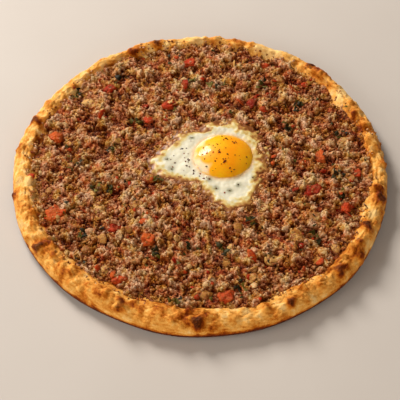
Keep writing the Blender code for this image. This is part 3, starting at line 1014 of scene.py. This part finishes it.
# %% [markdown]
# ## Small bits of tomato and onion
#
# Between the crumbs lie smaller bits of the same vegetables, too small to be pieces of their
# own. They are lumps again, squarer than the crumbs, sunk a little and tilted only slightly.

# %% Small bits of tomato and onion


def scatter(count, seed, spread_seed):
    """Random places on the topping, more of them where a field of waves is high."""
    draw = np.random.default_rng(seed)
    flat = draw.uniform(-118 * MM, 118 * MM, (count * 8, 2))
    chance = smooth_step(waves(flat, 30 * MM, spread_seed), -0.8, 0.9)
    keep = (mince_edge(*flat.T) > 2 * MM) & (egg_distance(*flat.T) > 1.5 * MM)
    keep &= draw.uniform(size=len(flat)) < chance
    return flat[keep][:count]


def make_bits(name, count, low, high, flatness, lift, finish, slot, seed):
    """Bits between low and high half a width, lying nearly level among the crumbs."""
    flat = scatter(count, seed, seed + 1)
    draw = np.random.default_rng(seed + 2)
    size = draw.uniform(low, high, len(flat))
    half = size[:, None] * draw.uniform(0.7, 1.3, (len(flat), 3)) * (1.0, 1.0, flatness)
    places = np.column_stack([flat, bed(flat) + lift + draw.normal(0, 0.3, len(flat)) * MM])
    return make_lumps(name, places, half, finish, slot, seed + 3,
                      {"tone": draw.uniform(0, 1, len(flat))}, 5, 8, 0.2, 5, 0.3)


make_bits("tomato_bits", 70, 0.9 * MM, 2.2 * MM, 0.5, 0.3 * MM, tomato, "tomato", 70)
make_bits("tomato_scraps", 26, 2.2 * MM, 4.4 * MM, 0.3, 0.5 * MM, tomato, "tomato", 75)
make_bits("onion_bits", 110, 1.5 * MM, 3.8 * MM, 0.25, 0.3 * MM, onion, "onion", 80)

# %% [markdown]
# ## The egg white
#
# The white ran out over the hot topping and set: nearly flat, thicker round the yolk, thin
# and clear at its edge, where crumbs show through or stick out. Its skin is a grid about the
# yolk's middle. The number called thin runs from 0 by the yolk to 1 at the edge and in the
# dimples; it turns the white yellowish, and lets bits of meat stain it.

# %% The egg white
WHITE_ROWS = 76
WHITE_COLUMNS = 250
YOLK_HALF = np.array([21.5, 20.3]) * MM
WHITE_SPOTS = ((-6, 30), (-23, 11), (-20, 2), (26, -12), (36, -6), (11, -15), (6, -7), (20, -17))


def film_height(flat):
    """Height of the egg white: 12.1 mm inside, sinking below the meat across the outline."""
    out = egg_distance(flat[..., 0], flat[..., 1])
    level = mince_surface(flat[..., 0], flat[..., 1])
    fade = smooth_step(out, -14 * MM, -3 * MM)
    ripple = 0.30 * waves(flat, 12 * MM, 91) + 0.08 * waves(flat, 4 * MM, 92)
    sink = 1.6 * smooth_step(out, -9 * MM, 1 * MM) + 4.6 * smooth_step(out, 0, 5 * MM)
    return 12.1 * MM * (1 - fade) + (level + 1.1 * MM) * fade + (ripple - sink) * MM


turn = np.linspace(0, 2 * np.pi, WHITE_COLUMNS, endpoint=False)
outline = white_edge(turn) + 7.0 * MM
share = np.linspace(0.02, 1.0, WHITE_ROWS)[:, None]
radius = share * outline
white_flat = np.stack([EGG_X + radius * np.cos(turn), EGG_Y + radius * np.sin(turn)], -1)
white_top = film_height(white_flat)
by_yolk = np.hypot(*((white_flat - (EGG_X, EGG_Y)) / YOLK_HALF).transpose(2, 0, 1))
# The skirt raises the white a little round the yolk; it also marks where a glow of the yolk is painted on the
# white.
skirt_and_glow = np.clip((1.15 - by_yolk) / 0.2, 0, 1) ** 2
white_top += 0.4 * MM * skirt_and_glow
thin = 1 - np.clip((white_top - meat_height(white_flat)) / (2.8 * MM), 0, 1)
outward = egg_distance(*white_flat.transpose(2, 0, 1))
thin *= smooth_step(outward, -13 * MM, -5 * MM)
thin += 0.22 * smooth_step(outward, -8 * MM, -1 * MM)
herb = sum(np.exp(-((white_flat - np.array(spot) * MM) ** 2).sum(-1) / (2.2 * MM) ** 2)
           for spot in WHITE_SPOTS)
under_share = np.linspace(1.0, 0.1, 4)[:, None]
radius = np.concatenate([radius, under_share * outline * 0.985])
white_height = np.concatenate([white_top, np.full((4, WHITE_COLUMNS), 6.8 * MM)])
white_skin = np.stack([EGG_X + radius * np.cos(turn), EGG_Y + radius * np.sin(turn), white_height], -1)
below = np.ones((4, WHITE_COLUMNS))

white = Finish("set egg white", Roughness=0.42, Specular_IOR_Level=0.25, Coat_Weight=0.04,
               Coat_Roughness=0.2, Subsurface_Weight=0.3, Subsurface_Scale=3 * MM)
white.shader.inputs["Subsurface Radius"].default_value = (1.0, 0.9, 0.7)
clear = white.math("ADD", white.attribute("thin"), white.centred(white.noise(4 * MM, 4.0), 0.3))
milky = white.ramp(clear, [(0.05, "DED7BE"), (0.3, "D8C68C"), (0.5, "CCA85C"), (0.75, "A87034"),
                           (1.0, "7C4418")])
# Painted light: a yellow-orange glow from the yolk, painted on the white round it.
glow_tinted = white.mix(white.math("MULTIPLY", white.attribute("skirt_and_glow"), 0.75), milky, "ECA838")
spotted = white.math("MULTIPLY", white.attribute("herb"), white.math("MULTIPLY", white.noise(2 * MM, 3.0), 1.5), clamp=True)
white.link(white.mix(spotted, glow_tinted, "5E5E2C"), "Base Color")
white.bump(white.noise(6 * MM, 3.0), 0.25 * MM)
quads, triangles, _ = shell_faces(*radius.shape)
egg_top = (EGG_X, EGG_Y, 12.1 * MM)
white_piece = make_piece(
    "fried_white", with_poles(white_skin, egg_top, (EGG_X, EGG_Y, 6.8 * MM)), quads, triangles,
    white, {"thin": with_poles(np.concatenate([thin, below]), 0, 1),
                         "skirt_and_glow": with_poles(np.concatenate([skirt_and_glow, below]), 1, 0),
                         "herb": with_poles(np.concatenate([herb, 0 * below]), 0, 0)})
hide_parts("egg_white")

# %% [markdown]
# ## The yolk
#
# A yolk fried from below keeps its skin: a smooth oval dome, a little flatter than an ellipsoid
# at the top, glossy enough to mirror the window. A thin film of white climbs its left side.

# %% The yolk
YOLK_ROWS = 60
YOLK_COLUMNS = 120
YOLK_BELLY, YOLK_TOP, YOLK_BOTTOM = 11.4 * MM, 18.9 * MM, 8.2 * MM
YOLK_LENS = 1.4
ball = with_poles(ball_grid(YOLK_ROWS, YOLK_COLUMNS), (0, 0, 1.0), (0, 0, -1.0))
steep = np.sign(ball[:, 2]) * np.abs(ball[:, 2]) ** YOLK_LENS
rise = np.where(ball[:, 2] > 0, YOLK_TOP - YOLK_BELLY, YOLK_BELLY - YOLK_BOTTOM)
sag = 0.12 * MM * waves(ball[:, :2], 1.2, 96) * np.clip(ball[:, 2], 0, 1)
yolk_skin = np.column_stack([
    EGG_X + ball[:, 0] * YOLK_HALF[0], EGG_Y + ball[:, 1] * YOLK_HALF[1],
    YOLK_BELLY + steep * rise + sag - 0.15 * MM])
film = smooth_step(-ball[:, 0] + 0.2 * waves(ball, 0.7, 97), 0.46, 0.76)
window = np.exp(-((ball[:, 0] + 0.68) / 0.26) ** 4 - ((ball[:, 1] - 0.1) / 0.3) ** 4)
notch = smooth_step(ball[:, :2] @ (-0.77, 0.64) + 0.1 * waves(ball, 0.5, 98), 0.74, 0.92)
film = np.maximum(np.maximum(film * (1 - window), notch), 0.75 * smooth_step(-ball[:, 2], -0.42, -0.15))

yolk = Finish("soft yolk", Roughness=0.4, Specular_IOR_Level=0.12, Coat_Weight=0.3,
              Coat_Roughness=0.09, Subsurface_Weight=0.6, Subsurface_Scale=5 * MM)
yolk.shader.inputs["Subsurface Radius"].default_value = (1.0, 0.6, 0.15)
gold = yolk.ramp(yolk.noise(16 * MM, 2.0), [(0.35, "FF9C00"), (0.65, "FFB408")])
filmed = yolk.ramp(yolk.math("ADD", yolk.attribute("film"), yolk.centred(yolk.noise(3 * MM), 0.3)),
                   [(0.1, "000000"), (0.9, "E8E8E8")])
yolk.link(yolk.mix(filmed, gold, "E8DCBA"), "Base Color")
quads, triangles, _ = shell_faces(YOLK_ROWS, YOLK_COLUMNS)
yolk_piece = make_piece("fried_yolk", yolk_skin, quads, triangles, yolk, {"film": film})
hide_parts("egg_yolk")

# %% [markdown]
# ## Chopped parsley
#
# Parsley goes dark and limp in the oven, and lies in small heaps of torn leaf. One scrap of
# leaf is a very flat ball whose outline has three lobes, curled along its length. A heap is
# several of them at different turns, and single flecks lie between the heaps.

# %% Chopped parsley
HEAPS = (
    (-8, 82), (-88, 72), (-57, 85), (-87, 5), (-72, -16), (-80, -54), (-30, -69), (16, -64),
    (-17, -107), (27, -96), (99, 35), (45, 81), (71, 62), (94, -3), (-6, -64), (77, -56),
    (36, -43), (96, -21), (-59, -15), (-28, -8), (-45, 47), (-60, 22), (62, 40), (12, 78),
)
LEAF_ROWS = 4
LEAF_COLUMNS = 12


def leaf_shape(kinds, seed):
    """Scraps of leaf: a flat ball, its outline 1 + 0.3 cos 3a + 0.12 cos 7a, curled upwards."""
    draw = np.random.default_rng(seed)
    grid = with_poles(ball_grid(LEAF_ROWS, LEAF_COLUMNS), (0, 0, 1.0), (0, 0, -1.0))
    shapes = []
    for kind in range(kinds):
        turn = np.arctan2(grid[:, 1], grid[:, 0])
        lobes = 1 + 0.3 * np.cos(3 * turn + draw.uniform(0, 6)) + 0.12 * np.cos(7 * turn + kind)
        x, y = grid[:, 0] * lobes, grid[:, 1] * lobes * draw.uniform(0.55, 0.9)
        curl = draw.uniform(-0.5, 0.6) * x ** 2 + draw.uniform(-0.6, 0.6) * y ** 2
        crease = 0.12 * np.cos(5 * x + kind) * np.cos(4 * y)
        shapes.append(np.stack([x, y, grid[:, 2] * 0.10 + curl + crease], -1))
    return np.stack(shapes)


def make_leaves(name, places, sizes, tones, finish, seed):
    """Scatter scraps of leaf at the places, most of them nearly level."""
    draw = np.random.default_rng(seed)
    shapes = leaf_shape(12, seed)[draw.integers(0, 12, len(places))]
    turns = random_turns(draw, len(places), 0.3)
    half_sizes = sizes[:, None] * np.ones(3)
    return join_copies(name, shapes, places, turns, half_sizes, LEAF_ROWS, LEAF_COLUMNS, finish,
                       {"tone": tones})


parsley = Finish("wilted parsley", Roughness=0.55, Specular_IOR_Level=0.15)
leaf_level = parsley.math("ADD", parsley.attribute("tone"), parsley.centred(parsley.noise(1.5 * MM), 0.5))
parsley.link(parsley.ramp(leaf_level, [(0.1, "1E1603"), (0.5, "3E360C"), (0.8, "625418"),
                                       (1.0, "84742E")]), "Base Color")
draw = np.random.default_rng(101)
heap_of = np.repeat(np.array(HEAPS, float) * MM, 6, axis=0)
heap_flat = heap_of + draw.normal(0, 2.2, heap_of.shape) * MM
fleck_flat = scatter(70, 102, 103)
leaf_flat = np.concatenate([heap_flat, fleck_flat])
leaf_size = np.concatenate([draw.uniform(1.3, 2.6, len(heap_flat)), draw.uniform(0.7, 1.7, len(fleck_flat))]) * MM
leaf_places = np.column_stack([leaf_flat, bed(leaf_flat) + draw.uniform(1.0, 2.2, len(leaf_flat)) * MM])
make_leaves("parsley", leaf_places, leaf_size, draw.uniform(0, 0.9, len(leaf_flat)), parsley,
            104)

# %% [markdown]
# ## Pepper and chilli
#
# The cook finished the egg with a pinch of chilli flakes and ground pepper. Each flake is a
# small flat lump lying on the yolk's dome or on the white, and single grains lie everywhere.

# %% Pepper and chilli
YOLK_FLAKES = ((13, 12), (18, 4), (18, 25), (24, 22))


def egg_height(flat):
    """Height of the egg's surface: the yolk's dome where it stands, else the white."""
    across = (flat - (EGG_X, EGG_Y)) / YOLK_HALF
    inside = np.clip(1 - (across ** 2).sum(-1), 0, 1)
    dome = YOLK_BELLY + (YOLK_TOP - YOLK_BELLY) * inside ** (YOLK_LENS / 2)
    return np.where(inside > 0, dome, film_height(flat))


spice = Finish("chilli and pepper", Roughness=0.7, Specular_IOR_Level=0.1)
spice.link(spice.ramp(spice.attribute("tone"), [(0.0, "32100A"), (0.5, "64200A"), (1.0, "943A14")]),
           "Base Color")
draw = np.random.default_rng(111)
grouped = np.repeat(np.array(YOLK_FLAKES), 6, axis=0) + draw.normal(0, 0.8, (6 * len(YOLK_FLAKES), 2))
around = draw.normal(0, 1, (80, 2)) * (14, 11) + (2, 9)
beside = draw.normal(0, 1, (30, 2)) * (3, 6.5) + (-7, 9)
spots = np.concatenate([grouped, np.repeat(np.array(WHITE_SPOTS), 2, axis=0), around,
                        beside]) * MM
across = np.hypot(*((spots - (EGG_X, EGG_Y)) / YOLK_HALF).T)
spots = spots[(egg_distance(*spots.T) < -2 * MM) & ((across < 0.88) | (across > 1.06))]
flake_size = draw.uniform(0.3, 0.85, len(spots)) * MM
flakes = np.column_stack([spots, egg_height(spots) + 0.1 * MM])
make_lumps("egg_flakes", flakes, flake_size[:, None] * np.array((1.2, 0.9, 0.35)), spice, "spice",
           112, {"tone": draw.uniform(0, 1, len(spots))}, tumble=0.1)
grains = scatter(260, 113, 114)
grain_size = draw.uniform(0.3, 0.65, len(grains)) * MM
make_lumps("ground_pepper", np.column_stack([grains, bed(grains) + 1.3 * MM]),
           grain_size[:, None] * np.ones(3), spice, "spice", 115,
           {"tone": draw.uniform(0, 0.4, len(grains))})
